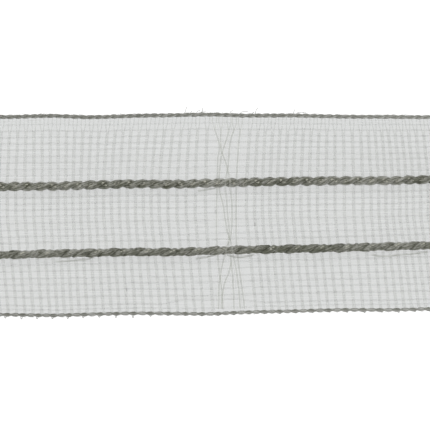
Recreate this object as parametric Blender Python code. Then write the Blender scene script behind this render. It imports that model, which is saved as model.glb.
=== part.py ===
# Roman blind tape, a cut length lying flat: a sheer woven mesh ground, a draw cord along each
# third of it and a fine twisted cord along each edge.
# Metres, +X along the tape, +Y towards its top edge, +Z up, the underside on z = 0.

import math

import bmesh
import bpy
from mathutils import Color

MM = 0.001

CUT_LENGTH = 70 * MM
MESH_THICKNESS = 1.0 * MM
GROOVE_WEB = 0.3 * MM         # mesh left under a draw cord
PIECE_GAP = 0.3 * MM          # air between two pieces
EDGE_CORD_HEIGHT = 0.3 * MM   # centre line of an edge cord above the underside
OUTLINE_STEP = 2.0 * MM
GROOVE_OVERRUN = 1.0 * MM     # how far a groove cutter reaches past each cut end
GROOVE_RESOLUTION = 3
WELD_DISTANCE = 0.001 * MM

# Centre lines across the tape in millimetres, a row for each place where one of them bends.
ROUTE_COLUMNS = ("along", "top_edge", "upper_cord", "lower_cord", "bottom_edge")
ROUTE_ROWS = (
    (-35.0, 12.18, 3.40, -5.08, -12.20),
    (-26.0, 12.05, 3.50, -4.93, -12.26),
    (-20.0, 12.18, 3.54, -4.76, -12.34),
    (-15.5, 12.02, 3.68, -4.68, -12.22),
    (-10.0, 12.18, 3.83, -4.57, -12.10),
    (-5.0, 12.26, 3.79, -4.57, -12.12),
    (-1.0, 12.34, 3.92, -4.44, -12.17),
    (4.0, 12.21, 4.03, -4.28, -11.96),
    (9.5, 12.22, 4.15, -4.18, -11.83),
    (15.5, 12.09, 4.22, -4.06, -11.67),
    (21.5, 12.06, 4.24, -3.87, -11.67),
    (26.0, 12.02, 4.38, -3.76, -11.57),
    (35.0, 12.10, 4.52, -3.58, -11.46),
)

# Each cord is two round strands laid side by side and twisted. Widths and turn in millimetres:
# across both strands, across one strand, and the length of a full turn. Steps are to a turn.
CORD_COLUMNS = ("name", "route", "wide", "strand", "turn", "steps", "sides", "colour")
CORD_ROWS = (
    ("draw_cord_upper", "upper_cord", 1.15, 0.88, 3.14, 10, 8, (118, 119, 110)),
    ("draw_cord_lower", "lower_cord", 1.15, 0.80, 6.16, 12, 10, (114, 115, 106)),
    ("edge_cord_top", "top_edge", 0.50, 0.36, 1.97, 8, 6, (112, 112, 106)),
    ("edge_cord_bottom", "bottom_edge", 0.58, 0.40, 1.97, 8, 6, (132, 133, 124)),
)
MESH_COLOUR = (211, 212, 210)
CORD_ROUGHNESS = 0.75
MESH_ROUGHNESS = 0.55


def clear_scene():
    for old in list(bpy.data.objects):
        bpy.data.objects.remove(old, do_unlink=True)


def make_collection(name):
    collection = bpy.data.collections.new(name)
    bpy.context.scene.collection.children.link(collection)
    return collection


def make_material(name, colour, roughness):
    """A plain Principled finish; colour is the display colour, 0 to 255."""
    material = bpy.data.materials.new(name)
    material.use_nodes = True
    shader = material.node_tree.nodes["Principled BSDF"]
    linear = Color([channel / 255 for channel in colour]).from_srgb_to_scene_linear()
    shader.inputs["Base Color"].default_value = (*linear, 1.0)
    shader.inputs["Roughness"].default_value = roughness
    shader.inputs["Metallic"].default_value = 0.0
    material.diffuse_color = (*linear, 1.0)
    return material


def route_y(column, along):
    """How far across the tape a line runs at a place along it: a smooth curve through the rows."""
    column_index = ROUTE_COLUMNS.index(column)
    stations = [row[0] * MM for row in ROUTE_ROWS]
    offsets = [row[column_index] * MM for row in ROUTE_ROWS]
    along = min(max(along, stations[0]), stations[-1])
    first = max(i for i in range(len(stations) - 1) if stations[i] <= along)
    span = stations[first + 1] - stations[first]

    def slope(i):
        before, after = max(i - 1, 0), min(i + 1, len(stations) - 1)
        return (offsets[after] - offsets[before]) / (stations[after] - stations[before])

    t = (along - stations[first]) / span
    return (
        (2 * t**3 - 3 * t**2 + 1) * offsets[first]
        + (t**3 - 2 * t**2 + t) * span * slope(first)
        + (3 * t**2 - 2 * t**3) * offsets[first + 1]
        + (t**3 - t**2) * span * slope(first + 1)
    )


def add_poly_curve(name, points, collection, cyclic=False, dimensions="3D"):
    curve = bpy.data.curves.new(name, "CURVE")
    curve.dimensions = dimensions
    spline = curve.splines.new("POLY")
    spline.points.add(len(points) - 1)
    for spline_point, place in zip(spline.points, points):
        spline_point.co = (*place, 1.0)
    spline.use_cyclic_u = cyclic
    curve_object = bpy.data.objects.new(name, curve)
    collection.objects.link(curve_object)
    return curve_object


def hide_guide(guide):
    guide.hide_render = True
    guide.display_type = "WIRE"


def mesh_from_curve(curve_object, collection):
    """Replace a curve by a mesh object whose end caps are welded on."""
    evaluated = curve_object.evaluated_get(bpy.context.evaluated_depsgraph_get())
    mesh = bpy.data.meshes.new_from_object(evaluated)
    welded = bmesh.new()
    welded.from_mesh(mesh)
    bmesh.ops.remove_doubles(welded, verts=welded.verts, dist=WELD_DISTANCE)
    welded.to_mesh(mesh)
    welded.free()
    name = curve_object.name
    place = curve_object.matrix_world.copy()
    bpy.data.objects.remove(curve_object, do_unlink=True)
    solid = bpy.data.objects.new(name, mesh)
    solid.matrix_world = place
    collection.objects.link(solid)
    return solid


def cord_centre_z(cord):
    """Draw cords lie over the mesh's web with a gap; edge cords lie beside the mesh."""
    if cord["name"].startswith("draw"):
        return GROOVE_WEB + PIECE_GAP + cord["wide"] / 2
    return EDGE_CORD_HEIGHT


def two_strand_outline(wide, strand, sides):
    """Section of two round strands side by side, run clockwise so that the caps face outwards."""
    strand_radius = strand / 2
    offset = wide / 2 - strand_radius
    outline = []
    for i in range(sides):
        angle = -2 * math.pi * i / sides
        reach = math.sqrt(strand_radius**2 - (offset * math.sin(angle)) ** 2)
        radius = offset * abs(math.cos(angle)) + reach
        outline.append((radius * math.cos(angle), radius * math.sin(angle), 0.0))
    return outline


def add_cord(cord, parts, guides):
    """A twisted cord: the two-strand section swept along the route and turned as it goes."""
    section_points = two_strand_outline(cord["wide"], cord["strand"], cord["sides"])
    section = add_poly_curve(cord["name"] + "_section", section_points, guides, True, "2D")
    hide_guide(section)

    intervals = round(CUT_LENGTH / cord["turn"] * cord["steps"])
    places = [CUT_LENGTH * (i / intervals - 0.5) for i in range(intervals + 1)]
    centre_z = cord_centre_z(cord)
    points = [(along, route_y(cord["route"], along), centre_z) for along in places]
    cord_object = add_poly_curve(cord["name"], points, parts)
    cord_object.data.twist_mode = "Z_UP"
    for spline_point, along in zip(cord_object.data.splines[0].points, places):
        spline_point.tilt = -2 * math.pi * along / cord["turn"]
    cord_object.data.bevel_mode = "OBJECT"
    cord_object.data.bevel_object = section
    cord_object.data.use_fill_caps = True

    split = cord_object.modifiers.new("faces", "TRIANGULATE")
    split.quad_method = "SHORTEST_DIAGONAL"
    cord_object.data.materials.append(make_material(cord["name"], cord["colour"], CORD_ROUGHNESS))


def add_mesh_ground(cords, parts, guides):
    """The woven sheet between the edge cords, with a round groove for each draw cord."""
    edge_inset = {}
    for cord in cords:
        edge_inset[cord["route"]] = cord["wide"] / 2 + PIECE_GAP

    count = round(CUT_LENGTH / OUTLINE_STEP)
    places = [CUT_LENGTH * (i / count - 0.5) for i in range(count + 1)]
    top = [(x, route_y("top_edge", x) - edge_inset["top_edge"], 0.0) for x in places]
    bottom = [(x, route_y("bottom_edge", x) + edge_inset["bottom_edge"], 0.0) for x in places]
    outline = add_poly_curve("mesh_ground", bottom + top[::-1], parts, True, "2D")
    outline.data.fill_mode = "BOTH"
    outline.data.extrude = MESH_THICKNESS / 2
    outline.location.z = MESH_THICKNESS / 2
    bpy.context.view_layer.update()
    ground = mesh_from_curve(outline, parts)

    for cord in cords:
        if not cord["name"].startswith("draw"):
            continue
        ends = (-CUT_LENGTH / 2 - GROOVE_OVERRUN, CUT_LENGTH / 2 + GROOVE_OVERRUN)
        route = [ends[0], *places, ends[1]]
        points = [(x, route_y(cord["route"], x), cord_centre_z(cord)) for x in route]
        groove_curve = add_poly_curve(cord["name"] + "_groove", points, guides)
        groove_curve.data.bevel_depth = cord["wide"] / 2 + PIECE_GAP
        groove_curve.data.bevel_resolution = GROOVE_RESOLUTION
        groove_curve.data.use_fill_caps = True
        groove = mesh_from_curve(groove_curve, guides)
        hide_guide(groove)
        cut = ground.modifiers.new(cord["name"] + "_groove", "BOOLEAN")
        cut.operation = "DIFFERENCE"
        cut.solver = "EXACT"
        cut.object = groove

    ground.data.materials.clear()
    ground.data.materials.append(make_material("mesh_ground", MESH_COLOUR, MESH_ROUGHNESS))


def read_cords():
    """The cord table with its lengths in metres, one dictionary a cord."""
    cords = []
    for row in CORD_ROWS:
        cord = dict(zip(CORD_COLUMNS, row))
        for size in ("wide", "strand", "turn"):
            cord[size] *= MM
        cords.append(cord)
    return cords


def main():
    clear_scene()
    parts = make_collection("roman_blind_tape")
    guides = make_collection("cutters_and_guides")
    cords = read_cords()
    add_mesh_ground(cords, parts, guides)
    for cord in cords:
        add_cord(cord, parts, guides)


main()
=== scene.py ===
import math
import random

import bmesh
import bpy
from mathutils import Color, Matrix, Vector


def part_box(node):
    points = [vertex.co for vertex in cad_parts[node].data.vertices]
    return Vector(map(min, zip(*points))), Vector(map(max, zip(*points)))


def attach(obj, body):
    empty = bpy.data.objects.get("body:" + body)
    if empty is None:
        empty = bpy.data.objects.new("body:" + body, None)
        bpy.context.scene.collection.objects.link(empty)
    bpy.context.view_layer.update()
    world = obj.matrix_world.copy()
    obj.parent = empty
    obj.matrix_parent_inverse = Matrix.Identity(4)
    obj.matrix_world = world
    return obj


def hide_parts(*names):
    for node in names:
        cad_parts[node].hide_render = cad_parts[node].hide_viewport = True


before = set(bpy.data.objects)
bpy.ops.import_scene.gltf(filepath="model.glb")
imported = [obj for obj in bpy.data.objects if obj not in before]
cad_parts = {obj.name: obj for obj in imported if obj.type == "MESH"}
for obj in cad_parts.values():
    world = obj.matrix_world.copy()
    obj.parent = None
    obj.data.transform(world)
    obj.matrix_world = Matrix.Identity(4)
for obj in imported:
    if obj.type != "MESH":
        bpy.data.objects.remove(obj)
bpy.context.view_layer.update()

mm = 0.001

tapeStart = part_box("mesh_ground")[0][0]
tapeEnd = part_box("mesh_ground")[1][0]

# the photograph's frame, by which the view is placed
photoView = {
    "pixels": 430,
    "perPixel": 0.1232 * mm,  # the tape's width over the pixels it covers
    "middleLine": 214.87,  # how far down the picture y = 0 lies, in pixels
    "lens": 180.0,
    "sensor": 36.0,
    "level": 0.4 * mm,  # the height at which a pixel is that size
}

# centre lines across the tape in millimetres, as the solids have them
routeColumns = ("along", "topEdge", "upperCord", "lowerCord", "bottomEdge")
routeRows = (
    (-35.0, 12.18, 3.40, -5.08, -12.20),
    (-26.0, 12.05, 3.50, -4.93, -12.26),
    (-20.0, 12.18, 3.54, -4.76, -12.34),
    (-15.5, 12.02, 3.68, -4.68, -12.22),
    (-10.0, 12.18, 3.83, -4.57, -12.10),
    (-5.0, 12.26, 3.79, -4.57, -12.12),
    (-1.0, 12.34, 3.92, -4.44, -12.17),
    (4.0, 12.21, 4.03, -4.28, -11.96),
    (9.5, 12.22, 4.15, -4.18, -11.83),
    (15.5, 12.09, 4.22, -4.06, -11.67),
    (21.5, 12.06, 4.24, -3.87, -11.67),
    (26.0, 12.02, 4.38, -3.76, -11.57),
    (35.0, 12.10, 4.52, -3.58, -11.46),
)

# the crosswise threads in millimetres: how far apart they are at each place
spacingColumns = ("along", "spacing")
spacingRows = (
    (-35.0, 1.00), (-25.1, 1.05), (-23.4, 1.12), (-21.8, 1.06), (-20.3, 0.95),
    (-13.2, 0.955), (-10.3, 1.00), (-8.0, 0.965), (-5.2, 1.13), (-3.0, 1.13),
    (-1.8, 1.28), (-0.5, 1.33), (3.5, 1.05), (6.3, 0.93), (9.0, 0.965),
    (11.5, 1.01), (14.5, 1.12), (17.0, 1.15), (18.8, 1.03), (20.2, 0.90),
    (23.6, 0.84), (26.0, 0.94), (35.0, 0.95),
)
# and how far their upper and lower ends are drawn along the tape
driftColumns = ("along", "upper", "lower")
driftRows = (
    (-35.0, 0.20, 1.00), (-25.5, 0.30, 1.02), (-21.5, -0.02, 0.82), (-17.5, 0.20, 0.67),
    (-13.8, 0.44, 0.85), (-9.8, 0.48, 0.92), (-5.9, 0.62, 1.10), (-1.2, 0.17, 0.82),
    (3.7, 0.40, 1.05), (7.5, 0.32, 1.04), (11.4, 0.28, 1.22), (15.8, -0.10, 1.12),
    (18.1, -0.26, 1.03), (20.1, -0.46, 1.12), (23.4, -0.60, 1.40), (35.0, -0.60, 1.40),
)


def tableAt(columns, rows, column, along):
    # a smooth curve through one column of a table
    index = columns.index(column)
    places = [row[0] * mm for row in rows]
    values = [row[index] * mm for row in rows]
    along = min(max(along, places[0]), places[-1])
    first = max(i for i in range(len(places) - 1) if places[i] <= along)
    span = places[first + 1] - places[first]

    def slope(i):
        before, after = max(i - 1, 0), min(i + 1, len(places) - 1)
        return (values[after] - values[before]) / (places[after] - places[before])

    t = (along - places[first]) / span
    return (
        (2 * t**3 - 3 * t**2 + 1) * values[first]
        + (t**3 - 2 * t**2 + t) * span * slope(first)
        + (3 * t**2 - 2 * t**3) * values[first + 1]
        + (t**3 - t**2) * span * slope(first + 1)
    )


def routeY(line, along):
    return tableAt(routeColumns, routeRows, line, along)


def easeStep(low, high, value):
    t = min(max((value - low) / (high - low), 0.0), 1.0)
    return t * t * (3 - 2 * t)


def displayColour(red, green, blue):
    # a colour as a screen shows it, 0 to 255, made linear
    linear = Color((red / 255, green / 255, blue / 255)).from_srgb_to_scene_linear()
    return (linear.r, linear.g, linear.b, 1.0)


class Wire:
    # an output socket that can stand in a Python expression
    def __init__(self, finish, socket):
        self.finish = finish
        self.socket = socket

    def maths(self, operation, first, second):
        return self.finish.node("ShaderNodeMath", {"operation": operation}, {0: first, 1: second})

    def __add__(self, other):
        return self.maths("ADD", self, other)

    def __radd__(self, other):
        return self.maths("ADD", other, self)

    def __sub__(self, other):
        return self.maths("SUBTRACT", self, other)

    def __rsub__(self, other):
        return self.maths("SUBTRACT", other, self)

    def __mul__(self, other):
        return self.maths("MULTIPLY", self, other)

    def __rmul__(self, other):
        return self.maths("MULTIPLY", other, self)


class Finish:
    # one material and the nodes that are put in it
    def __init__(self, name):
        self.material = bpy.data.materials.new(name)
        self.material.use_nodes = True
        self.tree = self.material.node_tree
        self.shader = self.tree.nodes["Principled BSDF"]

    def put(self, target, value):
        if isinstance(value, Wire):
            self.tree.links.new(value.socket, target)
        else:
            target.default_value = value

    def look(self, values):
        for name, value in values.items():
            self.put(self.shader.inputs[name], value)
        return self.material

    def node(self, kind, settings=None, inputs=None, output=0):
        made = self.tree.nodes.new(kind)
        for name, value in (settings or {}).items():
            if name == "stops":
                ramp = made.color_ramp
                while len(ramp.elements) < len(value):
                    ramp.elements.new(1.0)
                for element, (position, colour) in zip(ramp.elements, value):
                    element.position = position
                    element.color = colour
            else:
                setattr(made, name, value)
        for name, value in (inputs or {}).items():
            self.put(made.inputs[name], value)
        return Wire(self, made.outputs[output])

    def place(self, scale):
        # object coordinates, stretched by scale
        where = self.node("ShaderNodeTexCoord", output="Object")
        return self.node("ShaderNodeMapping", inputs={"Vector": where, "Scale": scale})

    def noise(self, scale, size, detail=2.0):
        # smooth noise from 0 to 1; scale stretches it along x, y and z
        return self.node(
            "ShaderNodeTexNoise",
            inputs={"Vector": self.place(scale), "Scale": size, "Detail": detail},
        )

    def blend(self, factor, dark, light):
        # from the dark colour to the light one
        return self.node(
            "ShaderNodeMix",
            {"data_type": "RGBA"},
            {"Factor": factor, "A": dark, "B": light},
            output="Result",
        )

    def bump(self, height, distance, strength):
        return self.node(
            "ShaderNodeBump",
            inputs={"Height": height, "Distance": distance, "Strength": strength},
        )


def slowTone(made, rows):
    # lighter and darker stretches along a cord
    where = made.node("ShaderNodeTexCoord", output="Object")
    x = made.node("ShaderNodeSeparateXYZ", inputs={"Vector": where}, output="X")
    along = made.node(
        "ShaderNodeMapRange",
        inputs={"Value": x, "From Min": tapeStart, "From Max": tapeEnd},
    )
    span = tapeEnd - tapeStart
    stops = [((place * mm - tapeStart) / span, (tone, tone, tone, 1.0)) for place, tone in rows]
    return made.node("ShaderNodeValToRGB", {"stops": stops}, {"Fac": along})


# the look of twisted filament yarn
yarnLook = {
    "stretch": (1.0, 6.0, 6.0),  # streaks run along the cord
    "streakDetail": 3.0,
    "patchSize": 1500.0,
    "toneReach": 0.34,  # how much a slow tone counts
    "darkest": 0.36,  # the shades that get the dark and the light colour
    "lightest": 0.64,
    "streakRoughness": 0.15,
    "streakHeight": 0.02 * mm,
    "streakStrength": 0.5,
    "sheen": 0.2,
    "sheenRoughness": 0.4,
}


def fibreFinish(name, dark, light, roughness, grain, patchy, tones):
    # fine streaks along the yarn, small patches, slow tones and a soft gloss
    made = Finish(name)
    streak = made.noise(yarnLook["stretch"], grain, yarnLook["streakDetail"])
    patch = made.noise((1.0, 1.0, 1.0), yarnLook["patchSize"])
    shade = streak * (1 - patchy) + patch * patchy
    shade = shade + (slowTone(made, tones) - 0.5) * yarnLook["toneReach"]
    limits = {"From Min": yarnLook["darkest"], "From Max": yarnLook["lightest"]}
    mask = made.node("ShaderNodeMapRange", inputs={"Value": shade, **limits})
    return made.look({
        "Base Color": made.blend(mask, displayColour(*dark), displayColour(*light)),
        "Roughness": roughness + streak * yarnLook["streakRoughness"],
        "Normal": made.bump(streak, yarnLook["streakHeight"], yarnLook["streakStrength"]),
        "Sheen Weight": yarnLook["sheen"],
        "Sheen Roughness": yarnLook["sheenRoughness"],
    })


# the look of clear fine yarn
clearLook = {
    "patchSize": 900.0,
    "patchRoughness": 0.2,
    "alphaLow": 0.85,  # a yarn's alpha varies about its own by these shares
    "alphaRange": 0.3,
}


def clearFinish(name, dark, light, roughness, alpha):
    # pale, glossy and mostly see-through, or with alpha 1 not at all
    made = Finish(name)
    patch = made.noise((1.0, 1.0, 1.0), clearLook["patchSize"])
    if alpha < 1:
        varied = alpha * clearLook["alphaLow"] + patch * (alpha * clearLook["alphaRange"])
        made.look({"Alpha": varied})
    return made.look({
        "Base Color": made.blend(patch, displayColour(*dark), displayColour(*light)),
        "Roughness": roughness + patch * clearLook["patchRoughness"],
    })


def addObject(name, data):
    made = bpy.data.objects.new(name, data)
    bpy.context.scene.collection.objects.link(made)
    return made


def addThreads(name, threads, radius, materials):
    # one piece of many four-sided yarns: each is its points, its thickness and the number of
    # its material. A fourth number at a point makes the yarn thinner there
    curve = bpy.data.curves.new(name, "CURVE")
    curve.dimensions = "3D"
    curve.bevel_depth = radius
    curve.bevel_resolution = 0
    curve.use_fill_caps = True
    curve.twist_mode = "Z_UP"
    for material in materials:
        curve.materials.append(material)
    for points, thick, number in threads:
        spline = curve.splines.new("POLY")
        spline.points.add(len(points) - 1)
        for splinePoint, place in zip(spline.points, points):
            splinePoint.co = (*place[:3], 1.0)
            splinePoint.radius = thick * place[3] if len(place) > 3 else thick
        spline.material_index = number
        spline.use_smooth = True
    made = addObject(name, curve)
    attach(made, "root")
    return made


def steps(start, end, step):
    count = max(round((end - start) / step), 1)
    return [start + (end - start) * i / count for i in range(count + 1)]


def shares(count):
    # evenly spaced from 0 to 1
    return [i / (count - 1) for i in range(count)]


def wander(chance, size, length):
    # a slow seeded drift along a line
    waves = [
        (chance.uniform(0.5, 1.0), chance.uniform(0.7, 1.6), chance.uniform(0, math.tau))
        for wave in range(3)
    ]
    total = sum(wave[0] for wave in waves)
    return lambda along: sum(
        size * part / total * math.sin(math.tau * along / (length * rate) + phase)
        for part, rate, phase in waves
    )


# the net
netShape = {
    "height": 0.22 * mm,  # middle of the net above the floor
    "underCord": 0.555 * mm,  # where it passes under a draw cord
    "cordReach": (0.25 * mm, 1.3 * mm),  # quite up within the first, level past the second
    "atEdge": 0.3 * mm,
    "edgeReach": (0.1 * mm, 0.8 * mm),
}


def netHeight(x, y):
    def nearness(lines, reach):
        return max(1 - easeStep(*reach, abs(y - routeY(line, x))) for line in lines)

    level = netShape["height"]
    rise = nearness(("upperCord", "lowerCord"), netShape["cordReach"])
    edge = nearness(("topEdge", "bottomEdge"), netShape["edgeReach"])
    height = level + rise * (netShape["underCord"] - level)
    return height + edge * (netShape["atEdge"] - level)


# the sheer ground, a film of the finest filaments
film = {
    "width": 24.2 * mm,
    "cellsAlong": 140,
    "cellsAcross": 48,
    "endInset": 0.25 * mm,
    "drop": 0.06 * mm,  # below the net's middle
    "threadPitch": 0.2 * mm,
    "colour": displayColour(111, 114, 113),
    # painted glow: the film shines with light it would let through from the floor below
    "glow": 0.316,  # light that comes through it from below
    "glowColour": (0.98, 1.0, 0.995, 1.0),
    "alphaThread": 0.585,
    "alphaBetween": 0.555,
}


def addFilm():
    cloth = bmesh.new()
    bmesh.ops.create_grid(
        cloth, x_segments=film["cellsAlong"], y_segments=film["cellsAcross"], size=1.0
    )
    for corner in cloth.verts:
        across = (corner.co.y + 1) / 2
        x = tapeStart + film["endInset"]
        x += (corner.co.x + 1) / 2 * (tapeEnd - tapeStart - 2 * film["endInset"])
        y = routeY("bottomEdge", x) * (1 - across) + routeY("topEdge", x) * across
        corner.co = Vector((x, y, netHeight(x, y) - film["drop"]))
    mesh = bpy.data.meshes.new("sheer_ground")
    cloth.to_mesh(mesh)
    cloth.free()
    mesh.shade_smooth()
    made = addObject("sheer_ground", mesh)

    finish = Finish("sheer film")
    lines = []
    for axis in ("X", "Y"):
        wave = finish.node(
            "ShaderNodeTexWave",
            {"wave_type": "BANDS", "bands_direction": axis, "wave_profile": "SIN"},
            {
                "Vector": finish.place((1.0, 1.0, 1.0)),
                # a wave's scale of 1 gives a band every pi / 10 metres
                "Scale": math.pi / 10 / film["threadPitch"],
                "Distortion": 1.0,
                "Detail": 1.0,
            },
            output="Fac",
        )
        lines.append(wave)
    weave = lines[0] * 0.5 + lines[1] * 0.5
    alpha = film["alphaBetween"] + weave * (film["alphaThread"] - film["alphaBetween"])
    mesh.materials.append(finish.look({
        "Alpha": alpha,
        "Base Color": film["colour"],
        "Emission Color": film["glowColour"],
        "Emission Strength": film["glow"],
        "Roughness": 0.5,
    }))
    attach(made, "root")
    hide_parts("mesh_ground")
    return made


# the crosswise threads, laid in pairs
weft = {
    "radius": 0.068 * mm,
    "pairGap": 0.146 * mm,  # from the pair's middle to each outer thread
    "pairPinch": 0.13 * mm,
    "splitGap": 0.25 * mm,  # where the pair parts beside the top edge
    "splitStart": 1.85 * mm,  # below the top edge cord's middle
    "splitEnd": 0.9 * mm,
    "step": 0.2 * mm,
    "weave": 0.05 * mm,  # over and under the lengthwise threads
    "wander": (0.022 * mm, 4.0 * mm),  # a pair's drift, and over what length
    "ownWander": (0.005 * mm, 1.9 * mm),  # and one yarn's
    "lean": (-0.01, 0.01),  # in millimetres
    "thick": (0.9, 1.1),
    "sideTurn": 0.25,  # how far a pair's yarns are out of step, in radians
    "fewest": 8,  # shorter pieces at the cut ends are left out
    "firstLeft": -1.16 * mm,  # the pair just left of the loop place, at the middle
    "firstRight": 3.88 * mm,
    "endInset": 0.45 * mm,
    "pastEnd": 1.5 * mm,  # pairs from here on lean back into the tape
    "middleHigh": 2.3 * mm,  # between these two heights a pair runs straight across
    "middleLow": 0.0,
    "driftHigh": 10.2 * mm,
    "driftLow": -10.5 * mm,
    "driftPower": 1.6,
}


def weftX(along, y):
    # where the pair that crosses the middle at this place has got to
    if y > weft["middleHigh"]:
        share = (y - weft["middleHigh"]) / (weft["driftHigh"] - weft["middleHigh"])
        share **= weft["driftPower"]
        return along + tableAt(driftColumns, driftRows, "upper", along) * share
    if y < weft["middleLow"]:
        share = (y - weft["middleLow"]) / (weft["driftLow"] - weft["middleLow"])
        return along + tableAt(driftColumns, driftRows, "lower", along) * share
    return along


def weftSpacing(along):
    return tableAt(spacingColumns, spacingRows, "spacing", along)


def weftPlaces():
    places = []
    along = weft["firstLeft"]
    while along > tapeStart - weft["pastEnd"]:
        places.append(along)
        along -= weftSpacing(along - weftSpacing(along) / 2)
    along = weft["firstRight"]
    while along < tapeEnd:
        places.append(along)
        along += weftSpacing(along + weftSpacing(along) / 2)
    return sorted(places)


def warpPhase(x, y):
    # counts the lengthwise threads up the tape, for over and under
    return (y - routeY("bottomEdge", x)) / warp["pitch"]


def addWefts(places, finish):
    chance = random.Random(11)
    threads = []
    low = tapeStart + weft["endInset"]
    high = tapeEnd - weft["endInset"]
    for index, along in enumerate(places):
        drift = wander(chance, *weft["wander"])
        lean = chance.uniform(*weft["lean"]) * mm
        for side in (-1, 0, 1):
            own = wander(chance, *weft["ownWander"])
            thick = chance.uniform(*weft["thick"])
            points = []
            bottom = routeY("bottomEdge", along)
            top = routeY("topEdge", along)
            # the middle yarn ends where the pair parts
            last = top - weft["splitStart"] if side == 0 else top
            for y in steps(bottom, last, weft["step"]):
                x = weftX(along, y) + drift(y) + own(y)
                phase = warpPhase(x, y)
                pinch = 0.5 + 0.5 * math.cos(math.tau * phase)
                gap = weft["pairGap"] + (weft["pairPinch"] - weft["pairGap"]) * pinch
                parted = easeStep(weft["splitStart"], weft["splitEnd"], top - y)
                gap += (weft["splitGap"] - gap) * parted
                x += side * (gap + lean)
                turn = math.pi * phase + math.pi * index + side * weft["sideTurn"]
                points.append((x, y, netHeight(x, y) + weft["weave"] * math.cos(turn)))
            inside = [place for place in points if low < place[0] < high]
            if len(inside) > weft["fewest"]:
                threads.append((inside, thick, 0))
    made = addThreads("weft_pairs", threads, weft["radius"], [finish])
    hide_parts("mesh_ground")
    return made


# the lengthwise threads, single, and the finest ones between them
warp = {
    "radius": 0.105 * mm,
    "pitch": 0.765 * mm,
    "step": 0.25 * mm,
    "wander": (0.03 * mm, 6.0 * mm),
    "thick": (0.8, 1.2),
    "weave": 0.045 * mm,
    "fineRadius": 0.014 * mm,
    "fineFirst": 0.03,  # share of a panel that has none
    "finePitch": 0.026,  # and their spacing, as a share of a panel
    "fineStep": 0.5 * mm,
    "fineWander": (0.03 * mm, 5.0 * mm),
    "fineUneven": (0.8, 1.2),
    "fineThick": (0.7, 1.3),
    "endFree": (0.0, 0.45 * mm),
}
# each panel: its two lines, and how far between them each thread runs
warpRows = (
    ("topEdge", "upperCord", (0.117, 0.208, 0.300, 0.390, 0.480, 0.574, 0.665, 0.757, 0.848)),
    ("upperCord", "lowerCord", (0.170, 0.262, 0.350, 0.443, 0.546, 0.645, 0.742, 0.835)),
    ("lowerCord", "bottomEdge", (0.178, 0.288, 0.404, 0.505, 0.606, 0.716, 0.850, 0.918)),
)
# one thread of the lowest panel rises part of the way along
risingWarp = {
    "line": "bottomEdge",
    "number": 6,
    "rise": (-6.9 * mm, -3.6 * mm),
    "fall": (1.8 * mm, 6.2 * mm),
    "share": -0.068,
}


def warpLine(upperLine, lowerLine, share, x):
    upper = routeY(upperLine, x)
    lower = routeY(lowerLine, x)
    return upper + (lower - upper) * share


def warpShare(lowerLine, number, share, x):
    if lowerLine != risingWarp["line"] or number != risingWarp["number"]:
        return share
    risen = easeStep(*risingWarp["rise"], x) - easeStep(*risingWarp["fall"], x)
    return share + risingWarp["share"] * risen


def addWarps(places, finish, fineFinish):
    chance = random.Random(23)
    threads = []
    fine = []
    for upperLine, lowerLine, panel in warpRows:
        for i, share in enumerate(panel):
            drift = wander(chance, *warp["wander"])
            start = tapeStart + chance.uniform(*warp["endFree"])
            end = tapeEnd - chance.uniform(*warp["endFree"])
            points = []
            for x in steps(start, end, warp["step"]):
                here = warpShare(lowerLine, i, share, x)
                y = warpLine(upperLine, lowerLine, here, x) + drift(x)
                nearest = min(places, key=lambda place: abs(weftX(place, y) - x))
                turn = (x - weftX(nearest, y)) / mm
                over = math.cos(math.pi * turn) * (-1) ** (places.index(nearest) + i)
                points.append((x, y, netHeight(x, y) + warp["weave"] * over))
            threads.append((points, chance.uniform(*warp["thick"]), 0))
        fineShare = warp["fineFirst"]
        while fineShare < 1 - warp["fineFirst"]:
            fineShare += warp["finePitch"] * chance.uniform(*warp["fineUneven"])
            drift = wander(chance, *warp["fineWander"])
            start = tapeStart + chance.uniform(*warp["endFree"])
            end = tapeEnd - chance.uniform(*warp["endFree"])
            points = []
            for x in steps(start, end, warp["fineStep"]):
                y = warpLine(upperLine, lowerLine, fineShare, x) + drift(x)
                points.append((x, y, netHeight(x, y)))
            fine.append((points, chance.uniform(*warp["fineThick"]), 0))
    made = addThreads("warp_threads", threads, warp["radius"], [finish])
    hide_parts("mesh_ground")
    thin = addThreads("fine_warps", fine, warp["fineRadius"], [fineFinish])
    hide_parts("mesh_ground")
    return made, thin


# twisted cords: two strands of many fine yarns, which keep to their own side of the strand.
# A finish number stands for each yarn of the first strand, then of the second, from the side
# towards the top edge on round over its top: 0 plain, 1 pale, 2 dark, 3 between 0 and 2. On the
# draw cords the pale yarns are painted highlight and the dark and between ones painted shade
drawCommon = {
    "slot": "draw_cord",
    # painted shade: how deep the dark yarns lie in the creases
    "creaseShadeDepth": 0.25 * mm,  # how deep the dark yarns lie in the creases
    "step": 0.15 * mm,
    "hairs": 70,
    "hairSide": 0,
}
upperCord = {
    **drawCommon,
    "node": "draw_cord_upper",
    "line": "upperCord",
    "offset": 0.258 * mm,  # from the cord's middle to a strand's
    "thick": 0.277 * mm,  # half of a strand's size along that offset
    "broad": 0.352 * mm,  # and half of it across
    "turn": 3.129 * mm,
    "phase": 0.6,
    "second": 0.54,
    "yarns": (
        (0, 0, 1, 3, 2, 3, 0, 0, 0, 0, 0, 0, 0, 0),
        (0, 3, 0, 2, 0, 3, 0, 0, 0, 0, 0, 0, 0, 0),
    ),
    "shift": -0.03 * mm,  # across the tape, from the solid's middle line
    "sway": 0.3,  # how far round a strand strays, in radians
    "breath": 0.026 * mm,  # how far a yarn moves in and out
    "firstFleck": -26.3 * mm,
    "fibres": 1200,
    "wrap": (2.6 * mm, 4.1 * mm, 8),
    "seed": 31,
}
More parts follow.
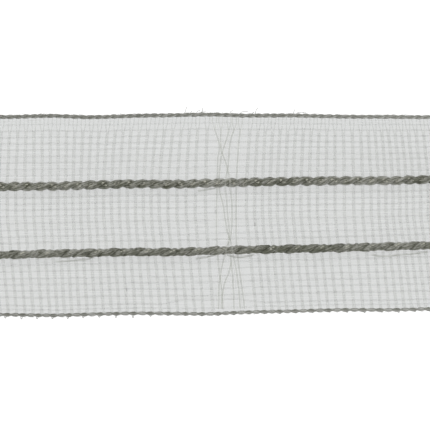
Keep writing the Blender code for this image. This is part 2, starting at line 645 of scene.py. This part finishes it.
lowerCord = {
    **drawCommon,
    "node": "draw_cord_lower",
    "line": "lowerCord",
    "offset": 0.256 * mm,
    "thick": 0.284 * mm,
    "broad": 0.4 * mm,
    "turn": 3.062 * mm,
    "phase": 0.99,
    "second": 0.515,
    "yarns": (
        (0, 0, 3, 0, 2, 3, 3, 0, 0, 0, 0, 0, 0, 0),
        (0, 1, 0, 3, 0, 2, 3, 0, 0, 0, 0, 0, 0, 0),
    ),
    "shift": 0.0,
    "pinch": 0.32,  # how much narrower it is where the weave pinches it
    "pinchAt": -25.95 * mm,
    "pinches": 1,  # to a turn
    "pinchReach": 0.38 * mm,
    "sway": 0.22,
    "breath": 0.022 * mm,
    "firstFleck": -23.8 * mm,
    "fibres": 1000,
    "wrap": (1.9 * mm, 4.2 * mm, 14),
    "seed": 37,
}
edgeCommon = {"slot": "edge_cord", "second": 0.5, "step": 0.10 * mm}
topEdge = {
    **edgeCommon,
    "node": "edge_cord_top",
    "line": "topEdge",
    "offset": 0.118 * mm,
    "thick": 0.128 * mm,
    "broad": 0.15 * mm,
    "turn": 1.97 * mm,
    "phase": 0.2,
    "yarns": ((2, 0, 0, 0, 0, 2), (2, 2, 0, 1, 1, 0)),
    "creaseShadeDepth": 0.1 * mm,
    "shift": 0.025 * mm,
    "sway": 0.3,
    "breath": 0.034 * mm,
    "hairs": 260,
    "hairSide": 1,  # hairs only on the side towards the top edge
    "seed": 41,
}
bottomEdge = {
    **edgeCommon,
    "node": "edge_cord_bottom",
    "line": "bottomEdge",
    "offset": 0.07 * mm,
    "thick": 0.14 * mm,
    "broad": 0.245 * mm,
    "turn": -2.002 * mm,  # laid the other way round
    "phase": 0.037,
    "yarns": ((2, 2, 0, 2, 2, 0), (0, 1, 0, 1, 0, 1)),
    "creaseShadeDepth": 0.06 * mm,
    "shift": -0.045 * mm,
    "pinch": 0.4,
    "pinchAt": -25.1 * mm,
    "pinches": 2,
    "pinchReach": 0.3 * mm,
    "thinned": True,  # its yarns are thinner where it is pinched
    "lay": 0.27 * mm,  # a slow wave in how closely it is twisted
    "layAt": -25.6 * mm,
    "layLength": 24.3 * mm,
    "sway": 0.1,
    "breath": 0.02 * mm,
    "hairs": 200,
    "hairSide": -1,
    "seed": 43,
}
# what all the cords share
twist = {
    "swayLength": 9.0 * mm,
    "yarnSway": (0.3, 2.3 * mm),  # one yarn in its strand, and over what length
    "breathLength": 1.3 * mm,
    "endFree": 0.25,  # in millimetres
    "thick": (0.85, 1.15),
    "packed": 1.15,  # a yarn's size against its share of the strand's rim
    # the dark crease yarns, painted shade
    "creaseShadeThick": 1.1,
    "creaseShadeInset": 0.1 * mm,
}

for cord in (upperCord, lowerCord, topEdge, bottomEdge):
    cordLow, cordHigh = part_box(cord["node"])
    cord["height"] = (cordLow[2] + cordHigh[2]) / 2


def cordSways(cord):
    # how each strand strays from an even twist
    chance = random.Random(cord["seed"])
    return [wander(chance, cord["sway"], twist["swayLength"]) for strand in range(2)]


def layWave(cord, x):
    # how far the twist is ahead of an even one
    if "lay" not in cord:
        return 0.0
    return cord["lay"] * (1 - math.cos(math.tau * (x - cord["layAt"]) / cord["layLength"]))


def strandTurn(cord, sways, strand, x):
    # how far round a strand has got, in radians
    turns = (x + layWave(cord, x)) / cord["turn"]
    return math.tau * (cord["phase"] + cord["second"] * strand - turns) + sways[strand](x)


def cordScale(cord, x):
    # narrower where the weave pinches the cord or its strands pinch each other
    if "pinch" not in cord:
        return 1.0
    pitch = cord["turn"] / cord["pinches"]
    away = (x + layWave(cord, x) - cord["pinchAt"]) / pitch
    away = (away - round(away)) * pitch
    return 1 - cord["pinch"] * math.exp(-((away / cord["pinchReach"]) ** 2))


def strandPoint(cord, sways, strand, x, around, lift):
    # a place on a strand's oval section, lift above its yarns' middles
    angle = strandTurn(cord, sways, strand, x)
    inner = around - angle
    out = cord["offset"] + (cord["thick"] + lift) * math.cos(inner)
    side = (cord["broad"] + lift) * math.sin(inner)
    y = out * math.cos(angle) - side * math.sin(angle)
    z = out * math.sin(angle) + side * math.cos(angle)
    scale = cordScale(cord, x)
    middle = routeY(cord["line"], x) + cord["shift"]
    return (x, middle + y * scale, cord["height"] + z * scale)


def twistThreads(cord):
    chance = random.Random(cord["seed"] + 1)
    sways = cordSways(cord)
    count = len(cord["yarns"][0])
    radius = math.pi * (cord["thick"] + cord["broad"]) / 2 / count
    threads = []
    for strand, finishes in enumerate(cord["yarns"]):
        for yarn, finish in enumerate(finishes):
            start = tapeStart + chance.uniform(0.0, twist["endFree"]) * mm
            end = tapeEnd - chance.uniform(0.0, twist["endFree"]) * mm
            own = wander(chance, *twist["yarnSway"])
            breath = wander(chance, cord["breath"], twist["breathLength"])
            points = []
            for x in steps(start, end, cord["step"]):
                around = math.tau * yarn / count + own(x)
                point = strandPoint(cord, sways, strand, x, around, breath(x) - radius)
                points.append((*point, cordScale(cord, x) if "thinned" in cord else 1.0))
            threads.append((points, chance.uniform(*twist["thick"]), finish))
    # dark yarns down in the creases between the strands: painted shade
    for crease in range(2):
        points = []
        inset = twist["creaseShadeInset"]
        for x in steps(tapeStart + inset, tapeEnd - inset, cord["step"]):
            first = strandTurn(cord, sways, 0, x)
            second = strandTurn(cord, sways, 1, x)
            angle = (first + second) / 2 + math.pi * crease
            reach = cord["creaseShadeDepth"] * cordScale(cord, x)
            y = routeY(cord["line"], x) + cord["shift"] + reach * math.cos(angle)
            points.append((x, y, cord["height"] + reach * math.sin(angle)))
        threads.append((points, twist["creaseShadeThick"], 2))
    return threads, radius * twist["packed"]


def addCord(cord, finishes):
    threads, radius = twistThreads(cord)
    made = addThreads(cord["node"] + "_twist", threads, radius, finishes)
    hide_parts(cord["node"])


# pale flecks, painted highlights on clear yarn of the net where it comes up through a draw cord.
# Each row is one fleck of every turn in millimetres: along and across from the turn's start, its
# length and rise
upperFlecks = (
    (0.0, 0.19, 0.26, 0.04), (0.05, 0.12, 0.22, 0.05), (0.43, -0.14, 0.24, 0.02),
    (1.48, -0.15, 0.28, 0.04), (1.62, -0.08, 0.24, 0.10), (1.90, 0.11, 0.20, 0.08),
)
lowerFlecks = ((0.0, 0.02, 0.20, 0.03), (0.08, 0.09, 0.22, 0.06), (0.36, 0.22, 0.30, 0.08))
fleck = {
    "radius": 0.06 * mm,
    "jitterAlong": (-0.08, 0.08),  # in millimetres
    "jitterAcross": (-0.03, 0.03),
    "length": (0.7, 1.15),
    "thick": (0.8, 1.2),
    "missing": 0.12,  # the share that is left out
    "points": 6,
    "bow": 0.035 * mm,
    "sunk": 0.03 * mm,
    "rim": 30,  # places on a strand's rim that are tried for its height
    "near": 0.07 * mm,
}


def surfaceZ(cord, sways, x, y):
    # the height of the cord's upper side
    best = cord["height"]
    for strand in range(2):
        for i in range(fleck["rim"]):
            place = strandPoint(cord, sways, strand, x, math.tau * i / fleck["rim"], 0.0)
            if abs(place[1] - y) < fleck["near"]:
                best = max(best, place[2])
    return best


def addFlecks(name, cord, rows, finish):
    chance = random.Random(cord["seed"] + 200)
    sways = cordSways(cord)
    threads = []
    turn = cord["firstFleck"]
    while turn > tapeStart + cord["turn"]:
        turn -= cord["turn"]
    while turn < tapeEnd - cord["turn"]:
        for along, across, length, rise in rows:
            x = turn + (along + chance.uniform(*fleck["jitterAlong"])) * mm
            offset = (across + chance.uniform(*fleck["jitterAcross"])) * mm
            length *= chance.uniform(*fleck["length"])
            if chance.random() < fleck["missing"]:
                continue
            points = []
            for share in shares(fleck["points"]):
                share -= 0.5
                place = x + share * length * mm
                y = routeY(cord["line"], place) + offset + share * rise * mm
                bow = fleck["bow"] * (1 - 5 * share**2)
                points.append((place, y, surfaceZ(cord, sways, place, y) - fleck["sunk"] + bow))
            threads.append((points, chance.uniform(*fleck["thick"]), 0))
        turn += cord["turn"]
    addThreads(name, threads, fleck["radius"], [finish])


# the upper cord's pale curls, two a turn, where a fine yarn loops round on top of it, drawn in
# the pale fleck finish as painted highlight
curl = {
    "places": ((0.16, 0.02), (1.72, 0.0)),  # along and across in millimetres
    "jitter": (-0.07, 0.07),
    "size": (0.75, 1.1),
    "wide": 0.24 * mm,
    "high": 0.15 * mm,
    "start": 1.6,  # in radians
    "sweep": 4.9,
    "points": 13,
    "thick": 0.42,
    "lift": 0.01 * mm,
}


def addCurls(name, cord, finish):
    chance = random.Random(cord["seed"] + 400)
    sways = cordSways(cord)
    threads = []
    turn = cord["firstFleck"] - cord["turn"] * 2
    while turn < tapeEnd - cord["turn"]:
        for along, across in curl["places"]:
            x = turn + (along + chance.uniform(*curl["jitter"])) * mm
            offset = (across + chance.uniform(*fleck["jitterAcross"])) * mm
            size = chance.uniform(*curl["size"])
            points = []
            for share in shares(curl["points"]):
                angle = curl["start"] + curl["sweep"] * share
                place = x + curl["wide"] * size * math.cos(angle)
                y = routeY(cord["line"], place) + offset + curl["high"] * size * math.sin(angle)
                points.append((place, y, surfaceZ(cord, sways, place, y) + curl["lift"]))
            threads.append((points, curl["thick"], 0))
        turn += cord["turn"]
    addThreads(name, threads, fleck["radius"], [finish])


# short loose fibres that lie over a draw cord's strands, and near the loop place fine yarn
# wound over it: a cord's wrap is its start, end and count
fibre = {
    "radius": 0.026 * mm,
    "length": (0.25 * mm, 0.75 * mm),
    "twist": 1.3,
    "points": 6,
    "ends": (0.5 * mm, 1.2 * mm),  # the cut ends are free of them
    "around": (-0.1, 1.1),  # where on a strand they start, in half turns
    "lift": (-0.005, 0.025),  # in millimetres
    "bow": 0.02 * mm,
    "thick": (0.6, 1.4),
    "finishes": (0, 1, 1, 2, 3),
    "wrapUneven": (0.1, 0.9),
    "wrapLean": (-0.12, 0.12),  # in millimetres
    "wrapReach": 0.42 * mm,
    "wrapLift": 0.01 * mm,
    "wrapThick": 0.7,
}


def addFibres(name, cord, finishes):
    chance = random.Random(cord["seed"] + 300)
    sways = cordSways(cord)
    threads = []
    for number in range(cord["fibres"]):
        strand = chance.randrange(2)
        x = chance.uniform(tapeStart + fibre["ends"][0], tapeEnd - fibre["ends"][1])
        length = chance.uniform(*fibre["length"])
        around = chance.uniform(*fibre["around"]) * math.pi
        spin = chance.uniform(-1, 1) * fibre["twist"]
        lift = chance.uniform(*fibre["lift"]) * mm
        points = []
        for t in shares(fibre["points"]):
            bow = lift + fibre["bow"] * math.sin(math.pi * t)
            place = x + length * t
            points.append(strandPoint(cord, sways, strand, place, around + spin * t, bow))
        thick = chance.uniform(*fibre["thick"])
        threads.append((points, thick, chance.choice(fibre["finishes"])))
    first, last, wraps = cord["wrap"]
    for i in range(wraps):
        x = first + (last - first) * (i + chance.uniform(*fibre["wrapUneven"])) / wraps
        lean = chance.uniform(*fibre["wrapLean"]) * mm
        points = []
        for t in steps(-1.0, 1.0, 0.2):
            place = x + lean * t
            y = routeY(cord["line"], place) + cord["shift"] + fibre["wrapReach"] * t
            points.append((place, y, surfaceZ(cord, sways, place, y) + fibre["wrapLift"]))
        threads.append((points, fibre["wrapThick"], 1))
    addThreads(name, threads, fibre["radius"], finishes)


# the place at the middle where threads of the weave are drawn together, and some cross over
# the draw cords. Each row is the cords that one pair crosses over and the pair's places, given
# in pixels of the picture, along and down
loopRows = (
    ((), (
        (214.6, 128), (216.2, 134), (218.3, 140), (219.6, 146), (218.6, 154), (217.6, 160),
        (217.3, 174), (216.9, 189), (216.5, 212), (216.4, 233), (217.1, 246), (218.4, 264),
        (220.4, 280), (221.9, 292), (223.0, 309))),
    (("lowerCord",), (
        (228.9, 129), (227.6, 136), (224.9, 144), (221.8, 154), (220.2, 166), (219.2, 176),
        (219.2, 189), (221.7, 199), (223.4, 207), (225.0, 218), (227.4, 232), (230.2, 240),
        (231.8, 247), (233.6, 257), (236.6, 273), (239.0, 292), (240.3, 309))),
    (("upperCord", "lowerCord"), (
        (220.9, 128), (220.7, 140), (221.2, 150), (224.9, 160), (228.2, 172), (230.0, 181),
        (230.3, 189), (231.7, 200), (232.0, 220), (231.2, 232), (229.6, 241), (226.6, 247),
        (225.0, 255), (222.4, 265), (220.2, 276), (218.9, 290), (218.4, 309))),
    (("upperCord",), (
        (234.2, 128), (231.4, 137), (229.4, 148), (228.7, 160), (227.4, 170), (225.6, 181),
        (225.2, 189), (226.6, 199), (227.5, 214), (229.3, 230), (228.9, 238), (228.2, 246),
        (230.6, 256), (230.9, 264), (228.4, 274), (225.0, 282), (222.6, 294), (221.6, 309))),
    ((), (
        (240.2, 128), (238.6, 145), (237.0, 170), (236.4, 189), (236.1, 214), (236.4, 240),
        (237.6, 256), (239.9, 274), (242.6, 292), (244.6, 309))),
    ((), ((231.2, 262), (232.6, 276), (233.6, 292), (234.0, 309))),
)
loop = {
    "radius": 0.018 * mm,
    "step": 0.18 * mm,
    "pairGap": 0.06 * mm,
    # painted highlight: the faint bright line beside each yarn
    "highlightGap": 0.15 * mm,  # to the faint bright edge of a pair
    "ownWander": (0.02 * mm, 2.4 * mm),
    "thick": (0.85, 1.15),
    "highlightThick": 0.6,
    "lift": 0.05 * mm,  # above the net
    "overCord": 1.77 * mm,
    "overThick": 0.9,
    "crest": 0.35 * mm,  # it runs level over a cord this far to each side
    "reach": 0.95 * mm,
    "topRow": 130,  # a row that starts above this runs on up to the edge cord
}


def fromPicture(across, down):
    # a place of the tape from its place in the picture
    x = (across - photoView["pixels"] / 2) * photoView["perPixel"]
    return x, (photoView["middleLine"] - down) * photoView["perPixel"]


def smoothThrough(points, step):
    # a smooth line through a thread's own points
    line = []
    last = len(points) - 1
    for i in range(last):
        before = points[max(i - 1, 0)]
        after = points[min(i + 2, last)]
        a, b = points[i], points[i + 1]
        count = max(round(math.dist(a, b) / step), 1)
        for k in range(count + (i == last - 1)):
            t = k / count
            line.append(tuple(
                0.5 * (2 * a[n] + (b[n] - before[n]) * t
                    + (2 * before[n] - 5 * a[n] + 4 * b[n] - after[n]) * t**2
                    + (3 * a[n] - before[n] - 3 * b[n] + after[n]) * t**3)
                for n in range(2)
            ))
    return line


# loose threads close below a draw cord: their places in pixels, along and down
catchRows = (
    ((56, 261.0), (66, 260.6), (76, 259.8), (86, 258.9), (92, 257.6)),
    ((198, 190.6), (206, 189.4), (213, 188.0), (218, 186.2)),
    ((196, 258.4), (204, 257.0), (211, 255.6), (217, 253.6)),
    ((227, 254.4), (233, 256.2), (241, 256.8), (249, 255.6), (254, 253.8)),
    ((372, 254.2), (380, 255.6), (391, 255.2), (404, 254.0), (417, 252.8), (428, 251.4)),
)
catch = {
    "radius": 0.026 * mm,
    "apart": 0.11 * mm,  # its two yarns
    "lift": 0.08 * mm,
    "slubLift": 0.05 * mm,
    "slubThick": 4.2,
    "slubPoints": 7,
}
# thickened places of the crosswise threads, in pixels: along, down and length
slubRows = ((215.6, 211.7, 4.0), (254.8, 224.2, 3.0), (126.6, 289.6, 3.6))


def addCatchThreads(finishes):
    threads = []
    for row in catchRows:
        places = [fromPicture(*place) for place in row]
        # each pair's upper yarn takes the bright loop finish, a painted highlight
        for below, number in ((0.0, 1), (catch["apart"], 0)):
            points = [
                (x, y - below, netHeight(x, y) + catch["lift"])
                for x, y in smoothThrough(places, loop["step"])
            ]
            threads.append((points, 1.0, number))
    for across, down, length in slubRows:
        points = []
        for share in shares(catch["slubPoints"]):
            x, y = fromPicture(across, down + length * (share - 0.5))
            points.append((x, y, netHeight(x, y) + catch["slubLift"]))
        threads.append((points, catch["slubThick"], 2))
    return addThreads("catch_threads", threads, catch["radius"], finishes)


def addLoopPlace(finishes):
    # two grey yarns a row, each with a faint bright line beside it as painted highlight, and
    # bright ones over the draw cords, clear yarn with a painted highlight
    chance = random.Random(53)
    threads = []
    for crossed, row in loopRows:
        places = [fromPicture(*place) for place in row]
        if row[0][1] < loop["topRow"]:
            places.insert(0, (places[0][0], routeY("topEdge", places[0][0])))
        for side in (-1, 1):
            own = wander(chance, *loop["ownWander"])
            points = []
            above = []
            for x, y in smoothThrough(places, loop["step"]):
                height = netHeight(x, y) + loop["lift"]
                near = [line for line in crossed if abs(y - routeY(line, x)) < loop["reach"]]
                top = routeY("topEdge", x)
                parted = easeStep(weft["splitStart"], weft["splitEnd"], top - y)
                gap = loop["pairGap"] + (weft["splitGap"] - loop["pairGap"]) * parted
                points.append((x + side * gap + own(y), y, height))
                if near:
                    away = abs(y - routeY(near[0], x))
                    over = 1 - easeStep(loop["crest"], loop["reach"], away)
                    height += (loop["overCord"] - height) * over
                    above.append((x + side * gap + own(y), y, height))
                elif above:
                    threads.append((above, loop["overThick"], 1))
                    above = []
            threads.append((points, chance.uniform(*loop["thick"]), 0))
            shine = side * (loop["highlightGap"] - loop["pairGap"])
            edge = [(x + shine, y, height) for x, y, height in points]
            threads.append((edge, loop["highlightThick"], 3))
    return addThreads("loop_place", threads, loop["radius"], finishes)


# small tails below the bottom edge
picot = {
    "radius": 0.036 * mm,
    "first": -33.92 * mm,
    "endFree": 0.5 * mm,
    "pitch": 2.02 * mm,
    "drop": 0.33 * mm,
    "uneven": (0.6, 1.2),
    "width": 0.1 * mm,
    "tucked": (-9.0 * mm, -7.0 * mm, 0.7),  # where they shrink, and by what share
    "shown": (15.0 * mm, 17.0 * mm, 0.25),  # and where they come out a little again
    "inset": 0.08 * mm,
    "height": 0.28 * mm,
    "points": 9,
}


def addPicots(finish):
    chance = random.Random(61)
    threads = []
    place = picot["first"]
    while place < tapeEnd - picot["endFree"]:
        x = place - layWave(bottomEdge, place)
        drop = picot["drop"] * chance.uniform(*picot["uneven"])
        start, end, less = picot["tucked"]
        again, whole, more = picot["shown"]
        drop *= 1 - less * easeStep(start, end, x) + more * easeStep(again, whole, x)
        edge = routeY("bottomEdge", x) + bottomEdge["shift"] - bottomEdge["broad"]
        points = []
        for share in shares(picot["points"]):
            turn = math.pi * share
            side = -math.cos(turn) * picot["width"]
            below = math.sin(turn) * drop
            points.append((x + side, edge + picot["inset"] - below, picot["height"]))
        threads.append((points, 1.0, 0))
        place += picot["pitch"]
    addThreads("picot_tails", threads, picot["radius"], [finish])


# short loose filaments that stand off all the cords
hair = {
    "radius": 0.01 * mm,
    "length": (0.25 * mm, 0.75 * mm),
    "ends": (0.5 * mm, 0.8 * mm),
    "outward": 0.2,  # least angle from straight up, in radians
    "lean": (0.4, 1.0),
    "stand": 0.22 * mm,
    "standShare": (0.3, 1.0),
    "root": 0.85,  # how far out on the cord it starts
    "arc": 0.62,  # how much of a half wave it rises through
    "spin": 0.5,  # how far round the cord it leans
    "thick": (0.7, 1.2),
    "points": 8,
}


def addHairs(name, cord, finish):
    chance = random.Random(cord["seed"] + 100)
    root = (cord["offset"] + cord["thick"]) * hair["root"]
    outward = cord["hairSide"]
    threads = []
    for number in range(cord["hairs"]):
        x = chance.uniform(tapeStart + hair["ends"][0], tapeEnd - hair["ends"][1])
        length = chance.uniform(*hair["length"])
        if outward:
            around = math.pi / 2 - outward * chance.uniform(hair["outward"], math.pi / 2)
        else:
            around = chance.uniform(0.0, math.pi)
        lean = chance.choice((-1, 1)) * chance.uniform(*hair["lean"])
        stand = hair["stand"] * chance.uniform(*hair["standShare"])
        points = []
        for t in shares(hair["points"]):
            off = root + stand * math.sin(math.pi * hair["arc"] * t)
            spin = around + hair["spin"] * t * lean
            points.append((
                x + lean * length * t,
                routeY(cord["line"], x) + off * math.cos(spin),
                cord["height"] + off * math.sin(spin),
            ))
        threads.append((points, chance.uniform(*hair["thick"]), 0))
    addThreads(name, threads, hair["radius"], [finish])


# filaments that have come loose above the top edge: both ends in pixels
strayRows = (
    ((185.4, 111.2), (186.6, 107.0)), ((191.2, 111.6), (192.6, 110.9)),
    ((197.4, 111.4), (199.8, 110.5)), ((202.2, 111.3), (206.2, 111.2)),
    ((202.3, 111.2), (202.8, 108.0)), ((230.8, 111.6), (233.0, 110.5)),
    ((241.6, 112.0), (248.2, 111.3)), ((252.6, 113.2), (254.0, 111.8)),
    ((256.2, 110.2), (258.2, 107.6)), ((293.5, 113.0), (294.4, 109.6)),
    ((298.0, 112.5), (306.0, 112.1)),
)
stray = {
    "radius": 0.024 * mm,
    "back": 0.15 * mm,  # how far left of its start it leaves the cord
    "climb": 0.4,
    "step": 0.1 * mm,
}


def addStrays(finish):
    threads = []
    for start, end in strayRows:
        x = fromPicture(*start)[0] - stray["back"]
        root = (x, routeY("topEdge", x) + topEdge["shift"] + topEdge["thick"])
        places = [root, fromPicture(*start), fromPicture(*end)]
        points = [
            (x, y, topEdge["height"] + stray["climb"] * (y - root[1]))
            for x, y in smoothThrough(places, stray["step"])
        ]
        threads.append((points, 1.0, 0))
    addThreads("stray_filaments", threads, stray["radius"], [finish])


# floor, light and camera
studio = {
    "floorSize": 1.5,
    "floorColour": (0.12, 0.12, 0.12, 1.0),
    "floorGlow": 0.98,
    "world": 0.7,
    # name, power, place and size: the key from above the top edge, the fill across from it
    "lamps": (
        ("key", 0.50, (-0.08, 0.20, 0.32), 0.16),
        ("fill", 0.22, (0.20, -0.12, 0.30), 0.25),
    ),
}


def addStudio():
    cloth = bmesh.new()
    bmesh.ops.create_grid(cloth, x_segments=1, y_segments=1, size=studio["floorSize"])
    mesh = bpy.data.meshes.new("floor")
    cloth.to_mesh(mesh)
    cloth.free()
    floor = addObject("floor", mesh)
    mesh.materials.append(Finish("pale floor").look({
        "Base Color": studio["floorColour"],
        "Roughness": 0.9,
        "Specular IOR Level": 0.1,
        "Emission Color": (1.0, 1.0, 1.0, 1.0),
        "Emission Strength": studio["floorGlow"],
    }))

    world = bpy.data.worlds.new("studio")
    world.use_nodes = True
    background = world.node_tree.nodes["Background"]
    background.inputs["Color"].default_value = (1.0, 1.0, 1.0, 1.0)
    background.inputs["Strength"].default_value = studio["world"]
    bpy.context.scene.world = world

    for name, power, place, size in studio["lamps"]:
        lamp = bpy.data.lights.new(name, "AREA")
        lamp.energy = power
        lamp.size = size
        lampObject = addObject(name, lamp)
        lampObject.location = place
        lampObject.rotation_euler = (-Vector(place)).to_track_quat("-Z", "Y").to_euler()

    settings = bpy.context.scene.view_settings
    settings.view_transform = "Standard"
    settings.look = "None"


def addCamera():
    view = bpy.data.cameras.new("camera")
    view.lens = photoView["lens"]
    view.sensor_width = photoView["sensor"]
    viewObject = addObject("camera", view)
    width = photoView["pixels"] * photoView["perPixel"]
    middle = (photoView["middleLine"] - photoView["pixels"] / 2) * photoView["perPixel"]
    distance = width * photoView["lens"] / photoView["sensor"]
    viewObject.location = (0.0, middle, photoView["level"] + distance)
    view.clip_start = 0.01
    view.clip_end = 10.0
    bpy.context.scene.camera = viewObject


addCamera()
addStudio()
print("camera and studio set")

weftFinish = clearFinish("clear weft yarn", (124, 130, 114), (154, 160, 144), 0.4, 0.086)
warpFinish = clearFinish("clear warp yarn", (132, 133, 128), (164, 165, 160), 0.4, 0.074)
fineFinish = clearFinish("finest yarn", (192, 193, 189), (206, 207, 203), 0.4, 1.0)
loopFinishes = [
    clearFinish("loop yarn", (156, 160, 148), (182, 186, 174), 0.4, 1.0),
    # the bright loop yarn and the faint bright yarn are painted highlights
    clearFinish("bright highlight loop yarn", (186, 187, 180), (226, 226, 220), 0.25, 1.0),
    clearFinish("slub yarn", (112, 114, 110), (140, 142, 138), 0.4, 0.12),
    clearFinish("faint highlight yarn", (236, 237, 232), (250, 250, 248), 0.3, 1.0),
]
fleckHighlightFinish = clearFinish("fleck highlight yarn", (176, 175, 160), (212, 211, 198), 0.3, 0.82)

wefts = weftPlaces()
sheer = addFilm()
netPieces = [addWefts(wefts, weftFinish), *addWarps(wefts, warpFinish, fineFinish)]
print("net woven:", len(wefts), "pairs across")

# tones: how light each stretch of a cord is, from a place in millimetres
upperTones = (
    (-27.0, 0.30), (-23.0, 0.50), (-20.0, 0.70), (-16.0, 0.70), (-14.5, 0.30), (-3.0, 0.45),
    (0.5, 0.85), (3.0, 0.70), (4.5, 0.25), (9.5, 0.30), (11.0, 0.55), (15.0, 0.60),
    (16.5, 0.80), (21.5, 0.75), (24.0, 0.35),
)
lowerTones = (
    (-27.0, 0.35), (-23.0, 0.60), (-17.0, 0.75), (-15.5, 0.35), (-2.0, 0.50), (1.5, 0.70),
    (3.5, 0.55), (5.5, 0.20), (14.0, 0.25), (17.0, 0.60), (23.0, 0.65), (26.0, 0.40),
)
edgeTones = ((-27.0, 0.40), (0.0, 0.62), (27.0, 0.80))
# each yarn's name, dark and light colour and roughness, in the order of a cord's numbers. On the
# draw cords the pale kind is painted highlight and the dark and deep kinds painted shade; a
# cord's dark kind also lines its creases as painted shade, and loose fibres take the kinds at
# random
drawKinds = (
    ("cord yarn", (102, 104, 90), (162, 162, 155), 0.45),
    ("pale cord yarn", (124, 124, 112), (172, 172, 165), 0.40),
    ("dark cord yarn", (68, 70, 53), (107, 108, 96), 0.50),
    ("deep cord yarn", (86, 88, 72), (138, 138, 129), 0.50),
)
edgeKinds = (
    ("edge yarn", (115, 115, 108), (156, 156, 151), 0.5),
    ("pale edge yarn", (147, 148, 142), (181, 182, 178), 0.45),
    ("dark edge yarn", (97, 98, 88), (129, 130, 122), 0.5),
)


def finishSet(where, kinds, grain, patchy, tones):
    return [fibreFinish(where + kind[0], *kind[1:], grain, patchy, tones) for kind in kinds]


upperFinishes = finishSet("upper ", drawKinds, 2600.0, 0.7, upperTones)
lowerFinishes = finishSet("lower ", drawKinds, 2600.0, 0.7, lowerTones)
edgeFinishes = finishSet("", edgeKinds, 4000.0, 0.4, edgeTones)
addCord(upperCord, upperFinishes)
addCord(lowerCord, lowerFinishes)
addCord(topEdge, edgeFinishes)
addCord(bottomEdge, edgeFinishes)
addFlecks("flecks_upper_cord", upperCord, upperFlecks, fleckHighlightFinish)
addFlecks("flecks_lower_cord", lowerCord, lowerFlecks, fleckHighlightFinish)
addCurls("curls_upper_cord", upperCord, fleckHighlightFinish)
addFibres("fibres_upper_cord", upperCord, upperFinishes)
addFibres("fibres_lower_cord", lowerCord, lowerFinishes)
print("cords twisted")

netPieces += [addLoopPlace(loopFinishes), addCatchThreads(loopFinishes)]
addPicots(edgeFinishes[0])
addHairs("hairs_upper_cord", upperCord, upperFinishes[1])
addHairs("hairs_lower_cord", lowerCord, lowerFinishes[1])
addHairs("hairs_top_edge", topEdge, edgeFinishes[0])
addHairs("hairs_bottom_edge", bottomEdge, edgeFinishes[1])
addStrays(edgeFinishes[2])
print("loop place, tails and hairs added")
